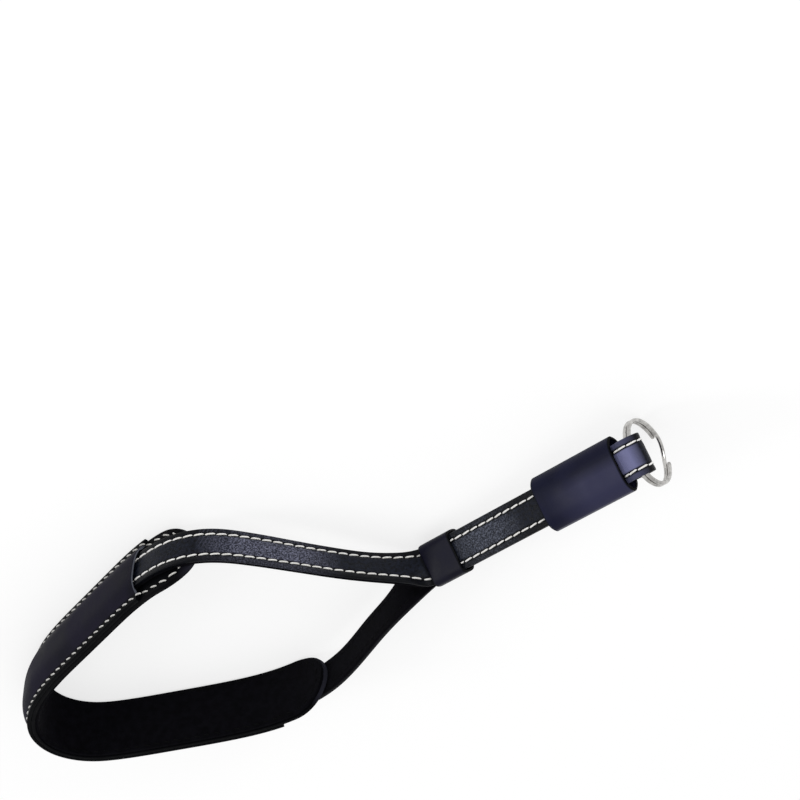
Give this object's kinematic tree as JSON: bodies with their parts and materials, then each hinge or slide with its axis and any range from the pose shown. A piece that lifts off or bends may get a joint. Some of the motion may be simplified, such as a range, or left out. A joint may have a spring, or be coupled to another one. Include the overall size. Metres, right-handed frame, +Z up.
{
  "type": "camera wrist strap",
  "caption": "Padded leather wrist loop with a slide keeper, a guard sleeve and a split ring that clips to a camera's strap lug.",
  "frame": {"origin": "middle of the foot of the whole object as it lies on a table on its long edge", "axes": "+X along the object from the wrist loop to the split ring, +Z up, +Y to the side that the near leg bows out to"},
  "size_m": [0.2174, 0.082, 0.0214],
  "materials": {
    "strap_leather": "black dress leather with a low gloss, cream edge stitching",
    "pad_leather": "smooth blue-black leather, satin",
    "trim_leather": "smooth charcoal leather, matt",
    "suede": "black napped suede, fully matt",
    "thread": "waxed cream sewing thread, semi-matt",
    "nickel_steel": "polished nickel plate"
  },
  "bodies": {
    "strap": {"strap_face": "strap_leather", "strap_lining": "suede", "pad_base": "pad_leather", "pad_lining": "suede", "pad_cover": "pad_leather"},
    "keeper": {"slide_keeper": "trim_leather"},
    "guard": {"guard_sleeve": "trim_leather"},
    "ring": {"split_ring": "nickel_steel"}
  },
  "joints": [
    {"name": "keeper_slide", "type": "slide", "parent": "strap", "child": "keeper", "axis": [0.9937, 0, 0.1119], "range_m": [0, 0.016]},
    {"name": "sleeve_slide", "type": "slide", "parent": "strap", "child": "guard", "axis": [0.9937, 0, 0.1119], "range_m": [-0.012, 0]},
    {"name": "ring_swing", "type": "hinge", "parent": "strap", "child": "ring", "pos_m": [0.10472, -0.02517, 0.0152], "axis": [-0.0857, -0.6428, 0.7612], "range_deg": [-45, 235]}
  ]
}
